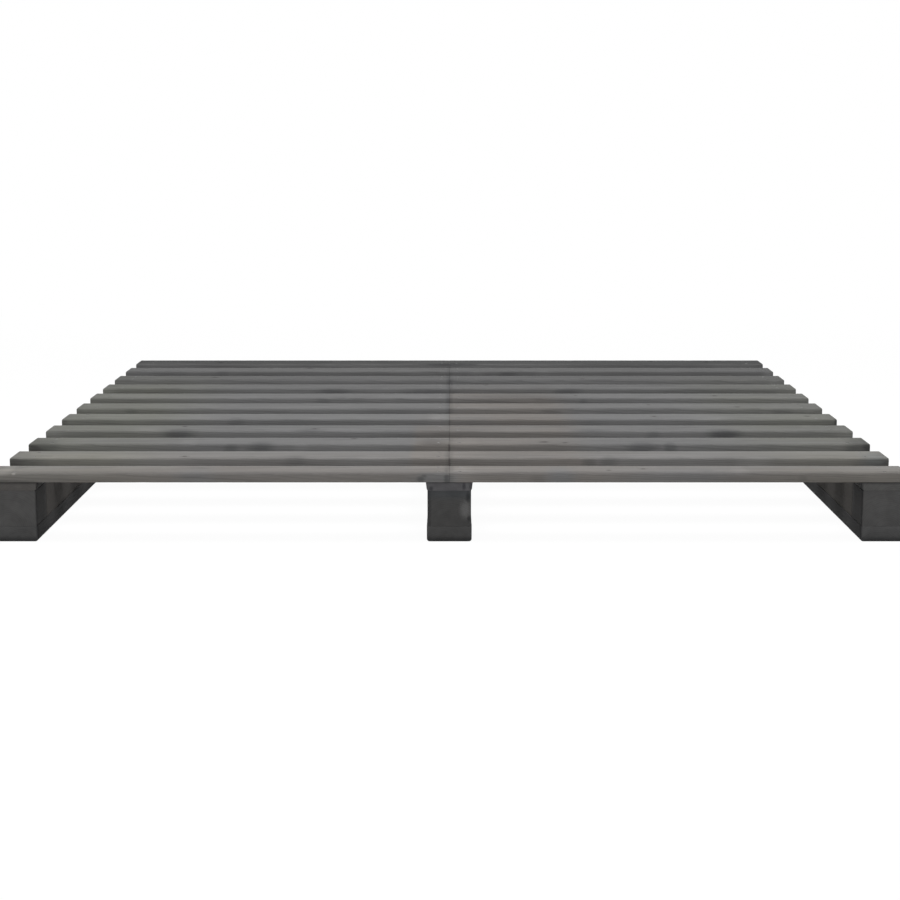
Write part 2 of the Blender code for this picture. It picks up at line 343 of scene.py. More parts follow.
# Pale rubbed spots on the slats, in the same form
SLAT_RUBS = (
    (1, -0.971, 0.012, EDGE, 0.36),
    (1, -0.946, 0.003, (0.006, 0.009, 0.002), 0.80),
    (1, -0.940, 0.090, TOP, 0.07),
    (1, 0.030, 0.016, EDGE, 0.14),
    (1, 0.024, 0.020, (0.010, -0.002, 0.008), 0.10),
    (1, 0.636, 0.014, EDGE, 0.12),
    (1, 0.950, 0.080, TOP, 0.09),
    (2, -0.940, 0.080, TOP, 0.11),
    (2, -0.634, 0.040, FACE, 0.08),
    (2, -0.169, 0.040, FACE, 0.12),
    (2, 0.693, 0.026, FACE, 0.18),
    (2, 0.940, 0.070, TOP, 0.11),
    (3, -0.621, 0.014, EDGE, 0.12),
    (3, -0.351, 0.013, FACE, 0.12),
    (3, 0.045, 0.030, EDGE, 0.20),
    (3, 0.100, 0.090, TOP, 0.14),
    (4, -0.985, 0.022, FACE, 0.14),
    (4, -0.754, 0.022, EDGE, 0.12),
    (4, 0.160, 0.080, TOP, 0.10),
    (4, 0.985, 0.022, FACE, 0.12),
    (5, -0.030, 0.016, EDGE, 0.20),
    (5, -0.670, 0.040, TOP, 0.14),
    (5, 0.660, 0.045, TOP, 0.16),
    (6, 0.055, 0.040, TOP, 0.16),
    (6, 0.975, 0.016, FACE, 0.10),
    (7, -0.190, 0.040, FACE, 0.15),
    (7, -0.120, 0.060, TOP, 0.10),
    (7, -0.880, 0.080, TOP, 0.12),
    (8, -0.990, 0.020, FACE, 0.20),
    (8, -0.196, 0.030, FACE, 0.08),
    (8, 0.980, 0.024, FACE, 0.13),
    (9, 0.970, 0.014, FACE, 0.12),
    (10, -0.960, 0.036, FACE, 0.14),
    (10, 0.083, 0.016, FACE, 0.17),
    (10, 0.289, 0.016, FACE, 0.12),
    (10, 0.985, 0.012, FACE, 0.24),
)

# Cool grey spots on the slats, in the same form
SLAT_COOLS = (
    (1, -0.550, 0.030, WHOLE, 0.5),
    (1, -0.030, 0.036, LOW_FACE, 0.7),
    (1, 0.243, 0.024, WHOLE, 0.8),
    (1, 0.490, 0.080, WHOLE, 0.4),
    (2, 0.970, 0.022, WHOLE, 0.6),
)

# How dark the slats are beside the middle seam, by row, and how far that reaches along them
SEAM_STRENGTHS = (0.35, 0.40, 0.12, 0.15, 0.05, 0.30, 0.45, 0.40, 0.45, 0.20, 0.0)
SEAM_REACH = 0.007

# Marks on the front ends of the runners: runner, part, metres right of and above the part's middle, half
# width, half height and strength
RUNNER_MARKS = (
    # Painted shade: a band under the slat, then lines down the front's inner edge beside the shaded wall
    ("left", "stringer", 0.0, 0.0095, 0.300, 0.0030, 0.6),
    ("left", "stringer", 0.0500, 0.0, 0.0015, 0.020, 0.7),
    ("left", "front_block", 0.0468, 0.0, 0.0010, 0.080, 0.6),
    ("left", "skid", 0.0480, 0.0, 0.0015, 0.080, 0.8),
    ("centre", "stringer", -0.040, -0.0045, 0.0035, 0.0035, 0.9),
    ("centre", "stringer", 0.032, 0.001, 0.0028, 0.006, 1.0),
    ("centre", "stringer", 0.047, 0.0, 0.0025, 0.007, 0.8),
    ("centre", "front_block", 0.041, 0.025, 0.0035, 0.007, 0.8),
    ("centre", "front_block", 0.043, -0.022, 0.0025, 0.004, 0.8),
    ("centre", "front_block", -0.044, 0.0, 0.003, 0.050, 0.5),
    # Painted shade: a band under the slat, then lines down the front's inner edge beside the shaded wall
    ("right", "stringer", 0.0, 0.0095, 0.300, 0.0030, 0.6),
    ("right", "stringer", -0.0495, 0.0, 0.0022, 0.020, 0.7),
    ("right", "front_block", -0.0468, 0.0, 0.0010, 0.080, 0.6),
    ("right", "skid", -0.0480, 0.0, 0.0015, 0.080, 0.8),
)

# Pale rubbed spots and cool grey ones there, in the same form
RUNNER_RUBS = (
    ("centre", "front_block", 0.035, -0.003, 0.0080, 0.0130, 1.0),
)
RUNNER_COOLS = (
    ("centre", "front_block", 0.0, 0.036, 0.300, 0.0100, 0.7),
)

# Boards of the runners: radii of their lower, upper and end edges, how much narrower they are below than
# above on each side, how pale they are, and how pale their upper faces are against the rest. The blocks'
# darker tone is painted shade from the slats over the inner walls near the front, and the skids' paler
# upper face is painted light on the ledge beside the dark line under the planks
RUNNER_BOARDS = {
    "stringer": ({"lower": 0.006, "upper": 0.0008, "ends": 0.0005, "slant": 0.0015}, 1.10, 1.0),
    "plank": ({"lower": 0.0003, "upper": 0.0003, "ends": 0.0005}, 1.0, 1.0),
    "block": ({"lower": 0.0002, "upper": 0.0002, "ends": 0.0002}, 0.70, 1.0),
    "skid": ({"lower": 0.006, "upper": 0.0003, "ends": 0.0010}, 0.64, 1.30),
    "spacer": ({"lower": 0.0010, "upper": 0.0010, "ends": 0.0005}, 1.0, 1.0),
}

# How high the painted contact shadow along a skid's foot reaches, how dark it is, and how much warmer the
# planks are than other boards
SKID_FOOT_SHADE_HEIGHT = 0.0065
SKID_FOOT_SHADE = 0.9
PLANK_WARMTH = 1.2

# How much paler the ends of each runner's boards are than its sides, which is painted light for the lit
# fronts against the shaded sides, and the hue of its stringer's ends
FRONT_LIGHT_TONES = {
    "left": {"stringer": 1.00, "block": 1.50, "skid": 1.46},
    "centre": {"stringer": 1.17, "block": 1.12, "skid": 1.30},
    "right": {"stringer": 1.12, "block": 1.46, "skid": 1.42},
}
STRINGER_HUES = {"left": (1.03, 0.995, 0.96), "centre": (1.0, 0.985, 1.03), "right": (1.0, 1.0, 0.975)}

# How far a mark on a runner's end reaches into the board
MARK_REACH = 0.012

# How far boards grow towards each other, where the frame keeps touching boards a little apart
SEAM_CLOSING = 0.00028
RUNNER_CLOSING = 0.00025


def drawn(low_high):
    """A seeded random number between two bounds."""
    return random.uniform(*low_high)


class Nodes:
    """Short forms for adding nodes to one tree. An input may be a socket, a number or a tuple."""

    def __init__(self, tree):
        self.tree = tree

    def put(self, socket, value):
        if isinstance(value, bpy.types.NodeSocket):
            self.tree.links.new(value, socket)
        else:
            socket.default_value = value

    def node(self, kind, inputs=(), **settings):
        node = self.tree.nodes.new("ShaderNode" + kind)
        for name, value in settings.items():
            setattr(node, name, value)
        for key, value in dict(inputs).items():
            self.put(node.inputs[key], value)
        return node

    def math(self, operation, *values):
        return self.node("Math", enumerate(values), operation=operation).outputs[0]

    def vector(self, operation, *values):
        node = self.node("VectorMath", enumerate(values), operation=operation)
        return node.outputs["Value" if operation == "LENGTH" else "Vector"]

    def parts(self, vector):
        """The X, Y and Z of a vector."""
        return self.node("SeparateXYZ", {0: vector}).outputs

    def noise(self, position, scale, detail, output="Fac"):
        """Noise whose scale is given for each of the three axes."""
        stretched = self.vector("MULTIPLY", position, scale)
        node = self.node("TexNoise", {"Vector": stretched, "Scale": 1.0, "Detail": detail})
        return node.outputs[output]

    def shift(self, position, pattern, size):
        """A vector of noise that lies about zero, with a size for each axis."""
        centred = self.vector("SUBTRACT", self.noise(position, *pattern, "Color"), HALVES)
        return self.vector("MULTIPLY", centred, size)

    def about_zero(self, value, size):
        """A value between 0 and 1, moved to lie about zero and scaled."""
        return self.math("MULTIPLY", self.math("SUBTRACT", value, 0.5), size)

    def ramp(self, value, low, high, start=0.0, end=1.0):
        """A smooth step from start to end while the value goes from low to high."""
        inputs = {"Value": value, "From Min": low, "From Max": high, "To Min": start, "To Max": end}
        node = self.node("MapRange", inputs, interpolation_type="SMOOTHSTEP")
        return node.outputs["Result"]

    def mix(self, factor, first, second, blend="MIX"):
        node = self.node("Mix", {0: factor, 6: first, 7: second}, data_type="RGBA", blend_type=blend)
        return node.outputs[2]

    def group(self, tree, inputs=()):
        return self.node("Group", inputs, node_tree=tree)

    def shader(self, kind, inputs):
        return self.node(kind, inputs).outputs[0]


def new_group(name, inputs, outputs):
    """An empty node group with these sockets, as name and kind, and the nodes at its two ends."""
    tree = bpy.data.node_groups.new(name, "ShaderNodeTree")
    for in_out, sockets in (("INPUT", inputs), ("OUTPUT", outputs)):
        for socket_name, kind in sockets.items():
            tree.interface.new_socket(socket_name, in_out=in_out, socket_type="NodeSocket" + kind)
    start = tree.nodes.new("NodeGroupInput")
    end = tree.nodes.new("NodeGroupOutput")
    return tree, start.outputs, end.inputs


def mark_group():
    """A soft-edged oval: Mask fills it, Halo fades out round it, and Push bends the rings round it."""
    inputs = ("Position", "Centre", "Size")
    outputs = ("Mask", "Halo", "Push")
    tree, given, result = new_group(
        "oval_mark",
        {**dict.fromkeys(inputs, "Vector"), **dict.fromkeys(("Strength", *outputs), "Float")},
        dict.fromkeys(outputs, "Float"),
    )
    n = Nodes(tree)
    offset = n.vector("DIVIDE", n.vector("SUBTRACT", given["Position"], given["Centre"]), given["Size"])
    ragged = n.shift(given["Position"], RAGGED_EDGE, RAGGEDNESS)
    distance = n.vector("LENGTH", n.vector("ADD", offset, ragged))
    for key, fade in {"Mask": MASK_FADE, "Halo": HALO_FADE}.items():
        step = n.ramp(distance, *fade, given["Strength"], 0.0)
        n.put(result[key], n.math("MAXIMUM", given[key], step))
    push = n.ramp(n.vector("LENGTH", offset), *PUSH_FADE, 1.0, 0.0)
    n.put(result["Push"], n.math("ADD", given["Push"], push))
    return tree


def rings(n, position, given):
    """How dark the growth rings are at a point, from 0 to 1. They curve round a pith below the board."""
    grain = n.vector("ADD", position, given["Seed"])
    from_pith = n.vector("SUBTRACT", position, given["Pith"])
    for pattern, reach in ((BEND, RING_BEND), (RIPPLE, RING_RIPPLE)):
        from_pith = n.vector("ADD", from_pith, n.shift(grain, pattern, reach))
    radius = n.vector("LENGTH", n.vector("MULTIPLY", from_pith, ACROSS_GRAIN))
    radius = n.math("MULTIPLY_ADD", n.parts(position)["X"], RING_TAPER, radius)
    radius = n.math("MULTIPLY_ADD", given["Push"], RING_PUSH, radius)
    turns = n.math("DIVIDE", radius, RING_SPACING)
    within = n.math("FRACT", turns)
    strength = n.node("TexWhiteNoise", {"W": n.math("FLOOR", turns)}, noise_dimensions="1D").outputs["Value"]
    late = n.math("MULTIPLY", n.ramp(within, *LATE_RISE), n.ramp(within, *LATE_FALL, 1.0, 0.0))
    return n.math("MULTIPLY", late, n.math("MULTIPLY_ADD", strength, 1.0 - FAINTEST_RING, FAINTEST_RING))


def edge_wear(n, position, grain, half_size):
    """Where the long edges are rubbed, from 0 to 1, in broken streaks."""
    inward = n.parts(n.vector("SUBTRACT", half_size, n.vector("ABSOLUTE", position)))
    long_edge = n.math("ADD", n.math("MAXIMUM", inward["Y"], 0.0), n.math("MAXIMUM", inward["Z"], 0.0))
    rubbed = n.ramp(long_edge, *RUBBED_BAND, 1.0, 0.0)
    patches = n.ramp(n.noise(grain, *RUBBED_PATCH), *RUBBED_NOISE)
    return n.math("MULTIPLY", rubbed, patches)


def hues(n, position, grain, colour, given):
    """Warm brown over the whole board or near the seam, and olive towards the outer end."""
    drift = n.ramp(n.noise(grain, *DRIFT), *DRIFT_NOISE, *DRIFT_STRENGTHS)
    along = n.math("MULTIPLY", n.parts(position)["X"], given["Seam Side"])
    from_seam = n.math("SUBTRACT", n.parts(given["Half Size"])["X"], along)
    near_seam = n.ramp(n.math("DIVIDE", from_seam, given["Seam Reach"]), *SEAM_FADE, 1.0, 0.0)
    near_end = n.ramp(from_seam, *OUTER_ZONE)
    warm = n.math("MULTIPLY_ADD", near_seam, given["Seam Warmth"], given["Warmth"])
    colour = n.mix(n.math("MULTIPLY", warm, drift), colour, WARM_TINT, "MULTIPLY")
    olive = n.math("MULTIPLY", n.math("MULTIPLY", near_end, given["End Olive"]), drift)
    return n.mix(olive, colour, OLIVE_TINT, "MULTIPLY")


def end_darkening(n, position, grain, given):
    """Where the ends are darker, from 0 to 1. It reaches further along some fibres. At the slats' outer
    ends, over the runners, this is painted shade.
    """
    half_length = n.parts(given["Half Size"])["X"]
    along = n.parts(position)["X"]
    darkening = n.parts(given["End Dark"])
    uneven = n.ramp(n.noise(grain, *UNEVEN_END_DARK), *END_DARK_NOISE, *END_DARK_STRETCHES)
    from_ends = []
    for operation, reach in (("ADD", darkening["X"]), ("SUBTRACT", darkening["Y"])):
        from_end = n.math(operation, half_length, along)
        from_ends.append(n.math("DIVIDE", from_end, n.math("MULTIPLY", reach, uneven)))
    near = n.ramp(n.math("MINIMUM", *from_ends), *END_DARK_FADE, 1.0, 0.0)
    return n.math("MULTIPLY", near, darkening["Z"])


def knot_colour(n, position, colour, given):
    """Paints the knots: a dark rim, a browner heart with its own fine rings, and a stained halo."""
    colour = n.mix(n.math("MULTIPLY", given["Halo"], KNOT_HALO), colour, HALO_TINT, "MULTIPLY")
    fine = n.noise(position, *KNOT_GRAIN)
    heart = n.math("MULTIPLY", n.ramp(given["Knot"], *KNOT_HEART), fine)
    knot = n.mix(heart, RIM_COLOUR, HEART_COLOUR)
    return n.mix(n.math("MULTIPLY", given["Knot"], KNOT_COVER), colour, knot)


def pine_group():
    """Stained softwood: rings, streaks, blotches, knots, darker ends and rubbed edges. Painted shade darkens
    the slats' outer ends, and painted light sets the tone of upper faces and of the runners' ends.
    """
    colours = ("Light", "Dark", "Top Light", "End Tint And Light")
    vectors = ("Seed", "Pith", "Half Size", "End Dark")
    floats = ("Warmth", "Seam Warmth", "Seam Reach", "End Olive", "Seam Side")
    spots = ("Knot", "Halo", "Push", "Mark", "Rub", "Cool")
    inputs = dict.fromkeys(colours, "Color")
    inputs.update(dict.fromkeys(vectors, "Vector"))
    inputs.update(dict.fromkeys(floats + spots, "Float"))
    outputs = {"Colour": "Color", "Roughness": "Float", "Height": "Float"}
    tree, given, result = new_group("stained_pine", inputs, outputs)
    n = Nodes(tree)
    coordinates = n.node("TexCoord").outputs
    position = coordinates["Object"]
    grain = n.vector("ADD", position, given["Seed"])
    late = rings(n, position, given)
    fibre = n.noise(grain, *FIBRE)
    streak = n.noise(grain, *STREAK)
    blotch = n.noise(grain, *BLOTCH)

    tone = MIDDLE_TONE
    for name, pattern in {"streak": streak, "blotch": blotch, "fibre": fibre}.items():
        tone = n.math("ADD", tone, n.about_zero(pattern, TONE_CHANGES[name]))
    tone = n.math("MULTIPLY_ADD", late, TONE_CHANGES["late"], tone)
    colour = n.mix(n.math("MINIMUM", n.math("MAXIMUM", tone, 0.0), 1.0), given["Dark"], given["Light"])
    colour = hues(n, position, grain, colour, given)

    wear = edge_wear(n, position, grain, given["Half Size"])
    colour = n.mix(n.math("MULTIPLY", wear, RUBBED_STRENGTH), colour, WORN_TINT, "MULTIPLY")
    for spot, tint in {"Rub": RUBBED_TINT, "Cool": COOL_TINT, "Mark": MARK_TINT}.items():
        colour = n.mix(given[spot], colour, tint, "MULTIPLY")
    colour = knot_colour(n, position, colour, given)

    normal = n.parts(coordinates["Normal"])
    end = n.ramp(n.math("ABSOLUTE", normal["X"]), *FACING)
    top = n.ramp(normal["Z"], *FACING)
    # The darker ends, painted shade at the slats' outer ends, show less on the upper face
    darkening = n.math("MULTIPLY_ADD", top, -TOP_END_DARK_LOSS, 1.0)
    darkening = n.math("MULTIPLY", end_darkening(n, position, grain, given), darkening)
    darkened = n.mix(darkening, WHITE, END_DARK_TINT)
    # The end faces are tinted: darker end grain on the slats, and painted light on the runners' ends
    colour = n.mix(1.0, colour, n.mix(end, darkened, given["End Tint And Light"]), "MULTIPLY")
    # Painted light: the upper face is made paler or darker for how the light falls on it
    colour = n.mix(top, colour, given["Top Light"], "MULTIPLY")
    n.put(result["Colour"], colour)

    rough = n.math("ADD", MIDDLE_ROUGHNESS, n.about_zero(streak, ROUGHNESS_CHANGES["streak"]))
    rough = n.math("MULTIPLY_ADD", late, ROUGHNESS_CHANGES["late"], rough)
    n.put(result["Roughness"], n.math("MULTIPLY_ADD", wear, ROUGHNESS_CHANGES["wear"], rough))

    height = n.math("MULTIPLY", fibre, HEIGHTS["fibre"])
    height = n.math("MULTIPLY_ADD", late, HEIGHTS["late"], height)
    n.put(result["Height"], n.math("MULTIPLY_ADD", given["Knot"], HEIGHTS["knot"], height))
    return tree


OVAL_MARK = mark_group()
STAINED_PINE = pine_group()


def new_material(name):
    """A new material, the short forms for its nodes, and its shader."""
    material = bpy.data.materials.new(name)
    material.use_nodes = True
    tree = material.node_tree
    return material, Nodes(tree), tree.nodes["Principled BSDF"]


def dress(n, shader, colour, roughness, height, bump):
    """Gives a shader its colour, its roughness and a relief of this height."""
    relief = n.node("Bump", {"Height": height, **bump}).outputs["Normal"]
    for name, value in {"Base Color": colour, "Roughness": roughness, "Normal": relief}.items():
        n.put(shader.inputs[name], value)


def toned(colour, tone):
    return (colour[0] * tone, colour[1] * tone, colour[2] * tone, 1.0)


def joined_marks(n, position, marks):
    """The joint Mask, Halo and Push of oval marks, each given by its centre, half size and strength."""
    joined = {"Mask": 0.0, "Halo": 0.0, "Push": 0.0}
    for centre, half_size, strength in marks:
        given = {"Position": position, "Centre": centre, "Size": half_size, "Strength": strength, **joined}
        mark = n.group(OVAL_MARK, given)
        joined = {key: mark.outputs[key] for key in joined}
    return joined


def pine(name, stain, size, tone, tints, knots=(), marks=(), rubs=(), cools=(), shine=WOOD_SHINE):
    """One board's own material. Its knots, marks, rubbed and cool spots lie in the board's own frame."""
    material, n, shader = new_material(name + "_pine")
    position = n.node("TexCoord").outputs["Object"]
    knot = joined_marks(n, position, knots)
    wood = n.group(
        STAINED_PINE,
        {
            "Light": toned(stain[0], tone),
            "Dark": toned(stain[1], tone),
            "Seed": [drawn(GRAIN_OFFSETS) for _ in range(3)],
            "Pith": (0.0, drawn(PITH_SIDES), -drawn(PITH_DEPTHS)),
            "Half Size": [side / 2 for side in size],
            "Knot": knot["Mask"],
            "Halo": knot["Halo"],
            "Push": knot["Push"],
            "Mark": joined_marks(n, position, marks)["Halo"],
            "Rub": joined_marks(n, position, rubs)["Halo"],
            "Cool": joined_marks(n, position, cools)["Halo"],
            **tints,
        },
    )
    dress(n, shader, wood.outputs["Colour"], wood.outputs["Roughness"], wood.outputs["Height"], WOOD_BUMP)
    shader.inputs["Specular IOR Level"].default_value = shine
    return material


def screw_metal(name, dark, light):
    """Dull steel between two greys, with cloudy patches and fine grit."""
    material, n, shader = new_material(name)
    position = n.node("TexCoord").outputs["Object"]
    cloud = n.noise(position, *CLOUD)
    colour = n.mix(cloud, (*dark, 1.0), (*light, 1.0))
    roughness = n.ramp(cloud, *METAL_CLOUDS, *METAL_ROUGHNESSES)
    dress(n, shader, colour, roughness, n.noise(position, *GRIT), METAL_BUMP)
    shader.inputs["Metallic"].default_value = 1.0
    return material


def linked(name, data):
    """A new object of the scene."""
    obj = bpy.data.objects.new(name, data)
    bpy.context.scene.collection.objects.link(obj)
    return obj


def smoothed(mesh):
    mesh.shade_smooth()
    mesh.set_sharp_from_angle(angle=SMOOTH_ANGLE)
    return mesh


def mesh_from(bm, name):
    bmesh.ops.recalc_face_normals(bm, faces=bm.faces)
    mesh = bpy.data.meshes.new(name)
    bm.to_mesh(mesh)
    bm.free()
    return smoothed(mesh)


def section(width, height, edges):
    """Points round a board's cross-section, as place, outward direction and corner, or None on a flat."""
    arcs = []
    for corner, (side, top) in enumerate(((1, -1), (1, 1), (-1, 1), (-1, -1))):
        radius = edges["upper" if top > 0 else "lower"]
        inset = edges.get("slant", 0.0) if top < 0 else 0.0
        centre = Vector((side * (width / 2 - inset - radius), top * (height / 2 - radius)))
        arc = []
        for step in range(ARC_STEPS + 1):
            angle = (corner - 1 + step / ARC_STEPS) * math.pi / 2
            outward = Vector((math.cos(angle), math.sin(angle)))
            arc.append((centre + outward * radius, outward, corner))
        arcs.append(arc)
    points = []
    for arc, following in zip(arcs, arcs[1:] + arcs[:1]):
        points += arc
        start, outward = arc[-1][0], arc[-1][1]
        run = following[0][0] - start
        steps = max(1, round(run.length / FLAT_STEP))
        points += [(start + run * (step / steps), outward, None) for step in range(1, steps)]
    return points


def dents_for(length):
    """Knocks along two opposite long edges of a board, as place, corner, depth and length."""
    dents = []
    for _ in range(round(DENTS_PER_METRE * length)):
        x = random.uniform(-length / 2, length / 2)
        dents.append((x, random.choice((0, 2)), drawn(DENT_DEPTHS), drawn(DENT_LENGTHS)))
    return dents


def stations_for(length, end_radii):
    """Places along a board, each with how far its section shrinks there, so that its ends are rounded."""
    low_radius, high_radius = end_radii
    low = -length / 2 + low_radius
    high = length / 2 - high_radius
    steps = round((high - low) / LENGTH_STEP)
    stations = [(low + (high - low) * step / steps, 0.0) for step in range(steps + 1)]
    for step in range(1, END_STEPS + 1):
        angle = step / END_STEPS * math.pi / 2
        stations.insert(0, (low - low_radius * math.sin(angle), low_radius * (1 - math.cos(angle))))
        stations.append((high + high_radius * math.sin(angle), high_radius * (1 - math.cos(angle))))
    return stations


def board_mesh(name, size, edges, end_radii):
    """A planed board along X, centred on its middle, with rubbed and dented long edges."""
    length, width, height = size
    outline = section(width, height, edges)
    dents = dents_for(length)
    shift = drawn(WEAR_OFFSETS)
    bm = bmesh.new()
    loops = []
    for x, shrunk in stations_for(length, end_radii):
        loop = []
        scale = Vector((1 - 2 * shrunk / width, 1 - 2 * shrunk / height))
        for place, outward, corner in outline:
            inward = 0.0
            if corner is not None:
                rubbed = noise.noise(Vector((x / WEAR_LENGTH + shift, corner * EDGE_OFFSET, 0.0)))
                inward = WEAR_DEPTH * max(0.0, rubbed)
                for dent_x, dent_corner, depth, dent_length in dents:
                    if dent_corner == corner and abs(x - dent_x) < DENT_REACH * dent_length:
                        inward += depth * math.exp(-(((x - dent_x) / dent_length) ** 2))
            point = place - outward * inward
            loop.append(bm.verts.new((x, point.x * scale.x, point.y * scale.y)))
        loops.append(loop)
    count = len(outline)
    for first, second in zip(loops, loops[1:]):
        for at in range(count):
            following = (at + 1) % count
            bm.faces.new((first[at], first[following], second[following], second[at]))
    bm.faces.new(loops[0])
    bm.faces.new(reversed(loops[-1]))
    return mesh_from(bm, name)


def turned(bm, profile, place):
    """Adds a solid of revolution about a vertical axis. The profile is (radius, height), bottom to top."""
    loops = []
    for radius, height in profile:
        loop = []
        for side in range(ROUND_SIDES):
            angle = 2 * math.pi * side / ROUND_SIDES
            offset = Vector((radius * math.cos(angle), radius * math.sin(angle), height))
            loop.append(bm.verts.new(place + offset))
        loops.append(loop)
    for lower, upper in zip(loops, loops[1:]):
        for side in range(ROUND_SIDES):
            following = (side + 1) % ROUND_SIDES
            bm.faces.new((lower[side], lower[following], upper[following], upper[side]))
    bm.faces.new(reversed(loops[0]))
    bm.faces.new(loops[-1])


def extruded(bm, outline, rise):
    """Adds the solid that a flat outline of points makes as it moves by the vector rise."""
    lower = [bm.verts.new(point) for point in outline]
    upper = [bm.verts.new(point + rise) for point in outline]
    bm.faces.new(reversed(lower))
    bm.faces.new(upper)
    for at in range(len(outline)):
        following = (at + 1) % len(outline)
        bm.faces.new((lower[at], lower[following], upper[following], upper[at]))


def carve(obj, cutter_mesh):
    """Takes the cutter's shape out of the object for good."""
    tool = linked(obj.name + "_cutter", cutter_mesh)
    tool.matrix_world = obj.matrix_world.copy()
    cut = obj.modifiers.new("cut", "BOOLEAN")
    cut.operation = "DIFFERENCE"
    cut.solver = "EXACT"
    cut.object = tool
    bpy.context.view_layer.update()
    evaluated = obj.evaluated_get(bpy.context.evaluated_depsgraph_get())
    carved = bpy.data.meshes.new_from_object(evaluated)
    if not carved.polygons:
        raise RuntimeError("nothing is left of " + obj.name)
    obj.modifiers.clear()
    plain = obj.data
    obj.data = smoothed(carved)
    carved.name = plain.name + "_carved"
    bpy.data.meshes.remove(plain)
    bpy.data.objects.remove(tool)
    bpy.data.meshes.remove(cutter_mesh)


def placed(name, mesh, material, matrix, replaced=()):
    """A piece of the bed, in place and riding on its one body."""
    obj = linked(name, mesh)
    obj.matrix_world = matrix
    mesh.materials.clear()
    mesh.materials.append(material)
    bpy.context.view_layer.update()
    if replaced:
        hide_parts(*replaced)
    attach(obj, "root")
    return obj


def box_of(node):
    """The low and the high corner of a node's box, from the frame."""
    return [Vector(corner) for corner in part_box(node)]


def board_frame(node, along):
    """The placing of a board whose grain runs along its own X, and its size, from its node."""
    low, high = box_of(node)
    extent = high - low
    turn = Matrix.Identity(4)
    size = tuple(extent)
    if along == "y":
        turn = Matrix.Rotation(math.pi / 2, 4, "Z")
        size = (extent.y, extent.x, extent.z)
    return Matrix.Translation((low + high) / 2) @ turn, size


def splits(bm, size):
    """Adds the cutters for thin drying splits in a board's ends."""
    length, width, height = size
    for end in (-1, 1):
        if random.random() > SPLIT_SHARE:
            continue
        depth = drawn(SPLIT_LENGTHS)
        y = drawn(SPLIT_SIDES)
        slant = drawn(SPLIT_SLANTS) * depth
        mouth = end * (length / 2 + OVERRUN)
        tip = end * (length / 2 - depth)
        floor = -height / 2 - OVERRUN
        outline = [
            Vector((mouth, y - SPLIT_WIDTH / 2, floor)),
            Vector((mouth, y + SPLIT_WIDTH / 2, floor)),
            Vector((tip, y + slant, floor)),
        ]
        if end < 0:
            outline.reverse()
        extruded(bm, outline, Vector((0.0, 0.0, height + 2 * OVERRUN)))


def screw_hole(bm, place, sink):
    """Adds the cutter for one countersunk hole, down through a board from its top face."""
    head = SCREW_HEAD / 2 + SCREW_FIT
    shank = SCREW_SHANK / 2 + SCREW_FIT
    profile = [(shank, -SCREW_HOLE_REACH), (shank, -sink - SCREW_CONE), (head, -sink), (head, OVERRUN)]
    turned(bm, profile, place)


def screw_mesh(name, places, depth):
    """Countersunk screws, each at its place and sink below the board's top face, before the recesses."""
    bm = bmesh.new()
    for place, sink in places:
        profile = [
            (SCREW_SHANK / 2, -depth),
            (SCREW_SHANK / 2, -sink - SCREW_CONE),
            (SCREW_HEAD / 2, -sink - SCREW_FIT),
            (SCREW_HEAD / 2 - SCREW_FIT, -sink),
        ]
        turned(bm, profile, place)
    return mesh_from(bm, name)


def drive_mesh(name, places):
    """Cutters for the cross recesses of the screws."""
    bm = bmesh.new()
    for place, sink in places:
        turn = Matrix.Rotation(random.uniform(0.0, math.pi / 2), 3, "Z")
        long, short = DRIVE_SPAN / 2, DRIVE_SLOT / 2
        corners = [(long, -short), (long, short), (short, short)]
        outline = []
        for quarter in range(4):
            step = turn @ Matrix.Rotation(quarter * math.pi / 2, 3, "Z")
            outline += [place + step @ Vector((x, y, -sink - DRIVE_DEPTH)) for x, y in corners]
        extruded(bm, outline, Vector((0.0, 0.0, DRIVE_DEPTH + OVERRUN)))
    return mesh_from(bm, name)


def small_knots(size):
    """One or two small knots, or none, somewhere on a board."""
    length, width, height = size
    knots = []
    for _ in range(random.choice(KNOT_COUNTS)):
        x = drawn(KNOT_LENGTH_SHARES) * length
        y = drawn(KNOT_WIDTH_SHARES) * width
        across = drawn(KNOT_HALF_WIDTHS)
        half_size = (across * drawn(KNOT_STRETCHES), across, height * MARK_COVER)
        knots.append(((x, y, 0.0), half_size, KNOT_STRENGTH))
    return knots


def front_marks(table, row, middle_x, size):
    """The marks of a table that lie on one slat, in its own frame. Its middle stands at middle_x."""
    marks = []
    for mark_row, x, half_length, (reach, up, half_height), strength in table:
        along = x - middle_x
        if mark_row == row and abs(along) < size[0] / 2 + half_length:
            marks.append(((along, -size[1] / 2, up), (half_length, reach, half_height), strength))
    return marks


def seam_mark(row, seam_x, size):
    """The darker end of a slat at the middle seam, over its whole section."""
    strength = SEAM_STRENGTHS[row - 1] * drawn(SEAM_VARIATION)
    half_size = (SEAM_REACH, size[1] * MARK_COVER, size[2] * MARK_COVER * 2)
    return (seam_x, 0.0, 0.0), half_size, strength


def row_share(row, rows, fades):
    """How much a tint shows on a row: it fades in after the first of two rows and out before the other."""
    return max(0.0, min(1.0, (row - rows[0]) / fades[0], (rows[1] - row) / fades[1]))


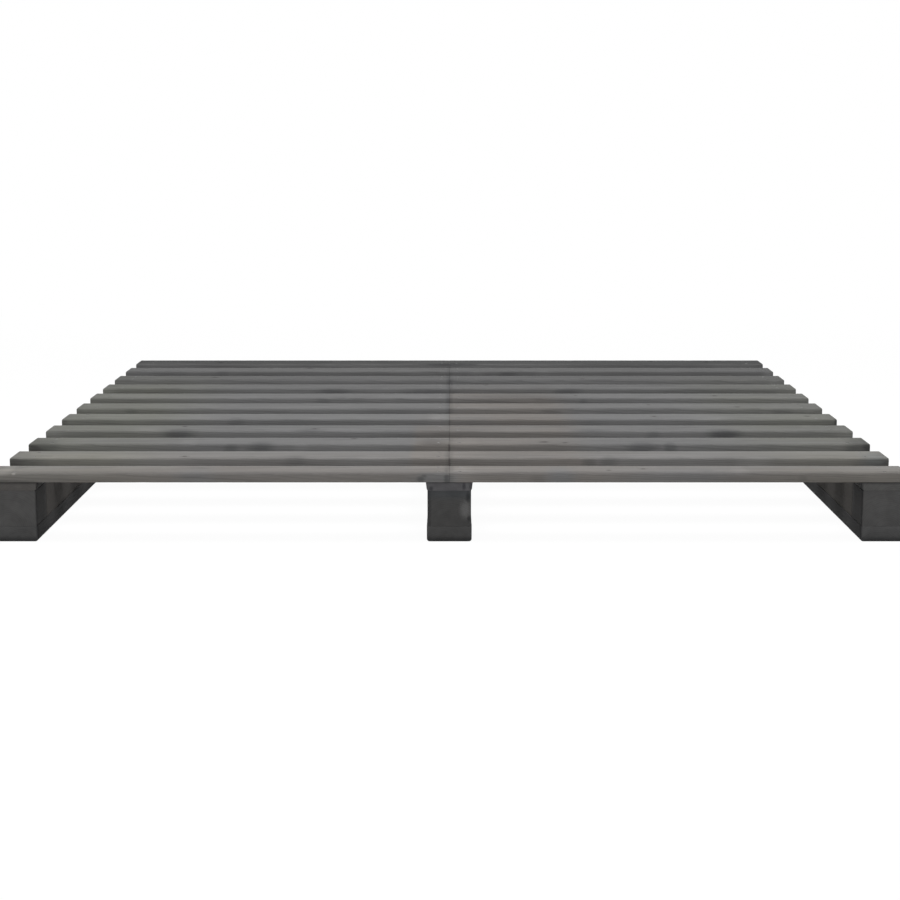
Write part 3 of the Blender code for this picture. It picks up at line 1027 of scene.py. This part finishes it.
def slat_tints(row, side):
    """The front rows are warm, the rows behind them warm near the seam, and the outer ends turn olive."""
    # The outer ends' darkening is painted shade over the runners
    reaches = (END_DARK_REACHES["outer"], END_DARK_REACHES["seam"])
    if side == "right":
        reaches = reaches[::-1]
    return {
        "Warmth": max(0.0, FRONT_WARMTH - WARMTH_LOSS * (row - 1)),
        "Seam Warmth": SEAM_WARMTHS[side] * row_share(row, SEAM_WARM_ROWS[side], SEAM_WARM_FADES),
        "Seam Reach": SEAM_REACHES[side],
        "End Olive": END_OLIVES[side] * row_share(row, OLIVE_ROWS, OLIVE_FADES),
        "Seam Side": 1.0 if side == "left" else -1.0,
        # The upper face's tone is painted light
        "Top Light": toned(WHITE, TOP_LIGHT_TONES[row - 1]),
        "End Tint And Light": SLAT_END_TINT,
        "End Dark": (*reaches, ROW_END_DARKENINGS[row - 1]),
    }


def build_slat(row, side, steel):
    node = f"slat_{row:02d}_{side}"
    matrix, size = board_frame(node, "x")
    outward = -1 if side == "left" else 1
    size = (size[0] + SEAM_CLOSING, size[1], size[2])
    matrix = Matrix.Translation((-outward * SEAM_CLOSING / 2, 0.0, 0.0)) @ matrix
    length, width, height = size
    runner_low, runner_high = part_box(f"{side}_runner_stringer")
    middle_x = matrix.translation.x
    runner_x = (runner_low[0] + runner_high[0]) / 2 - middle_x
    seam_x = -outward * (length / 2 - SCREW_FROM_SEAM)
    screws = []
    for x in (runner_x, seam_x):
        for y in (-SCREW_SPREAD, SCREW_SPREAD):
            place = Vector((x + drawn(SCREW_JITTER), y, height / 2))
            screws.append((place, drawn(SCREW_SINKS)))

    end_radii = (SLAT_END_RADII["outer"], SLAT_END_RADII["seam"])
    if side == "right":
        end_radii = end_radii[::-1]
    mesh = board_mesh(node + "_board", size, SLAT_EDGES, end_radii)
    # The row's tone also paints the light falling off towards the rear
    tone = ROW_TONES_AND_LIGHT[row - 1] * drawn(SLAT_VARIATION)
    tints = slat_tints(row, side)
    tables = (SLAT_MARKS, SLAT_RUBS, SLAT_COOLS)
    marks, rubs, cools = [front_marks(table, row, middle_x, size) for table in tables]
    marks.append(seam_mark(row, -outward * length / 2, size))
    shine = REAR_ROW_SHINE if row == ROWS else WOOD_SHINE
    material = pine(node, SLAT_STAIN, size, tone, tints, small_knots(size), marks, rubs, cools, shine)
    slat = placed(node + "_board", mesh, material, matrix, [node])
    cutters = bmesh.new()
    for place, sink in screws:
        screw_hole(cutters, place, sink)
    splits(cutters, size)
    carve(slat, mesh_from(cutters, node + "_holes"))

    plain = screw_mesh(node + "_screws", screws, height)
    heads = placed(node + "_screws", plain, steel, matrix)
    carve(heads, drive_mesh(node + "_drives", screws))


def skid_screw_hole(bm, screw, matrix):
    """Adds the cutter for one skid screw's hole, in the frame of a board that the screw goes into."""
    low, high = box_of(screw)
    head = (high.x - low.x) / 2 + SCREW_FIT
    shank = SKID_SCREW_SHANK / 2 + SCREW_FIT
    profile = [
        (head, -OVERRUN),
        (head, low.z),
        (shank, low.z + SKID_SCREW_HEAD_HEIGHT),
        (shank, high.z - SKID_SCREW_TIP),
        (SCREW_FIT, high.z + SCREW_FIT),
    ]
    on_floor = Vector(((low.x + high.x) / 2, (low.y + high.y) / 2, 0.0))
    turned(bm, profile, matrix.inverted() @ on_floor)


def screws_into(node):
    """The skid screws that go into one board of a runner."""
    low, high = box_of(node)
    found = []
    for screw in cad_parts:
        if "_skid_screw_" not in screw:
            continue
        screw_low, screw_high = box_of(screw)
        middle = (screw_low + screw_high) / 2
        if low.x < middle.x < high.x and low.y < middle.y < high.y and low.z < screw_high.z:
            found.append(screw)
    return found


def end_marks(table, runner, part, size):
    """The marks of a table that lie on one part's front end, in that board's own frame."""
    return [
        ((-size[0] / 2, -across, up), (MARK_REACH, half_width, half_height), strength)
        for mark_runner, mark_part, across, up, half_width, half_height, strength in table
        if (mark_runner, mark_part) == (runner, part)
    ]


def build_runner_board(node):
    """A board of a runner, with its grain along Y and its holes for the skid screws."""
    runner, part = node.split("_runner_")
    kind = next(kind for kind in RUNNER_BOARDS if kind in part)
    # The boards' tones carry painted shade on the blocks and painted light on the skids' upper faces
    edges, tone, top_light = RUNNER_BOARDS[kind]
    matrix, size = board_frame(node, "y")
    if kind in ("block", "plank"):
        size = (size[0], size[1], size[2] + 2 * RUNNER_CLOSING)
    hue = STRINGER_HUES[runner] if kind == "stringer" else WHITE
    tints = {
        "Top Light": toned(WHITE, top_light),
        # Painted light: the runners' ends are made paler than their sides
        "End Tint And Light": toned(hue, RUNNER_END_LIGHT * FRONT_LIGHT_TONES[runner].get(kind, 1.0)),
        "End Dark": (END_DARK_REACHES["runner"], END_DARK_REACHES["runner"], RUNNER_END_DARK),
        "Warmth": drawn(RUNNER_WARMTHS) + (PLANK_WARMTH if kind == "plank" else 0.0),
    }
    tables = (RUNNER_MARKS, RUNNER_RUBS, RUNNER_COOLS)
    marks, rubs, cools = [end_marks(table, runner, part, size) for table in tables]
    # A painted contact shadow along the foot of the skid
    if kind == "skid":
        half_size = (size[0] * MARK_COVER, size[1] * MARK_COVER, SKID_FOOT_SHADE_HEIGHT)
        marks.append(((0.0, 0.0, -size[2] / 2), half_size, SKID_FOOT_SHADE))
    stain = BARE_PINE if kind == "spacer" else RUNNER_STAIN
    knots = small_knots(size) if size[0] > LONG_BOARD else ()
    mesh = board_mesh(node + "_board", size, edges, (edges["ends"], edges["ends"]))
    tone *= drawn(RUNNER_VARIATION)
    material = pine(node, stain, size, tone, tints, knots, marks, rubs, cools)
    board = placed(node + "_board", mesh, material, matrix, [node])
    screws = screws_into(node)
    if screws:
        cutters = bmesh.new()
        for screw in screws:
            skid_screw_hole(cutters, screw, matrix)
        carve(board, mesh_from(cutters, node + "_holes"))


def build_runners(steel):
    """Builds the boards of the runners anew and gives the skid screws their finish."""
    for node, obj in list(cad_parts.items()):
        if "_skid_screw_" in node:
            obj.data.materials.clear()
            obj.data.materials.append(steel)
        elif "_runner_" in node:
            build_runner_board(node)


def seen(n):
    """1 on rays from the camera, also by way of a reflection or glass, and 0 on others."""
    path = n.node("LightPath").outputs
    direct = n.math("MAXIMUM", path["Is Camera Ray"], path["Is Glossy Ray"])
    return n.math("MAXIMUM", direct, path["Is Transmission Ray"])


def build_floor():
    """A plain white floor that keeps the bed's shadow, softly, and fades to plain white far away."""
    mesh = bpy.data.meshes.new("floor")
    corners = [(-1, -1), (1, -1), (1, 1), (-1, 1)]
    points = [(x * FLOOR_RADIUS, y * FLOOR_RADIUS, -FLOOR_DEPTH) for x, y in corners]
    mesh.from_pydata(points, [], [(0, 1, 2, 3)])
    floor = linked("floor", mesh)
    material = bpy.data.materials.new("white_floor")
    material.use_nodes = True
    tree = material.node_tree
    tree.nodes.clear()
    n = Nodes(tree)
    shown = n.shader("BsdfDiffuse", {"Color": toned(WHITE, FLOOR_SHADE)})
    white = n.shader("Emission", {"Strength": FLOOR_WHITE - FLOOR_SHADE})
    near = n.shader("AddShader", {0: shown, 1: white})
    far = n.shader("Emission", {"Strength": 1.0})
    distance = n.vector("LENGTH", n.node("NewGeometry").outputs["Position"])
    to_camera = n.shader("MixShader", {0: n.ramp(distance, *FLOOR_CLEAR), 1: near, 2: far})
    bounce = n.shader("BsdfDiffuse", {"Color": toned(WHITE, FLOOR_BOUNCE)})
    surface = n.shader("MixShader", {0: seen(n), 1: bounce, 2: to_camera})
    output = n.node("OutputMaterial", {"Surface": surface})
    output.is_active_output = True
    mesh.materials.append(material)


def build_world():
    """White where the camera sees it, and a soft even light on the bed."""
    world = bpy.data.worlds.new("studio")
    bpy.context.scene.world = world
    world.use_nodes = True
    world.node_tree.nodes.clear()
    n = Nodes(world.node_tree)
    soft = n.shader("Background", {"Color": WHITE, "Strength": SKY_LIGHT})
    white = n.shader("Background", {"Color": WHITE, "Strength": 1.0})
    surface = n.shader("MixShader", {0: seen(n), 1: soft, 2: white})
    n.node("OutputWorld", {"Surface": surface})


def mirrored(lamp):
    """The same lamp on the other side of the bed."""
    other = dict(lamp)
    for key in ("place", "aim"):
        x, y, z = lamp[key]
        other[key] = (-x, y, z)
    return other


def build_lamp(name, place, aim, size, power):
    data = bpy.data.lights.new(name, "AREA")
    data.shape = "RECTANGLE"
    data.size, data.size_y = size
    data.energy = power
    lamp = linked(name, data)
    lamp.location = place
    lamp.rotation_euler = (Vector(aim) - Vector(place)).to_track_quat("-Z", "Y").to_euler()


def build_camera():
    data = bpy.data.cameras.new("camera")
    data.lens = CAMERA_LENS
    data.sensor_width = SENSOR_WIDTH
    camera = linked("camera", data)
    camera.location = CAMERA_PLACE
    camera.rotation_euler = (math.pi / 2 - CAMERA_PITCH, 0.0, 0.0)
    bpy.context.scene.camera = camera


def main():
    random.seed(SEED)
    build_camera()
    build_world()
    build_lamp("right_overhead_lamp", **OVERHEAD)
    build_lamp("left_overhead_lamp", **mirrored(OVERHEAD))
    build_lamp("front_fill", **FRONT_FILL)
    build_lamp("back_fill", **BACK_FILL)
    build_lamp("right_fill", **SIDE_FILL)
    build_lamp("left_fill", **mirrored(SIDE_FILL))
    build_floor()
    stained_steel = screw_metal("stained_steel", *STAINED_STEEL)
    for row in range(1, ROWS + 1):
        for side in ("left", "right"):
            build_slat(row, side, stained_steel)
    build_runners(screw_metal("zinc_plate", *ZINC))
    bpy.context.scene.view_settings.view_transform = "Standard"


main()
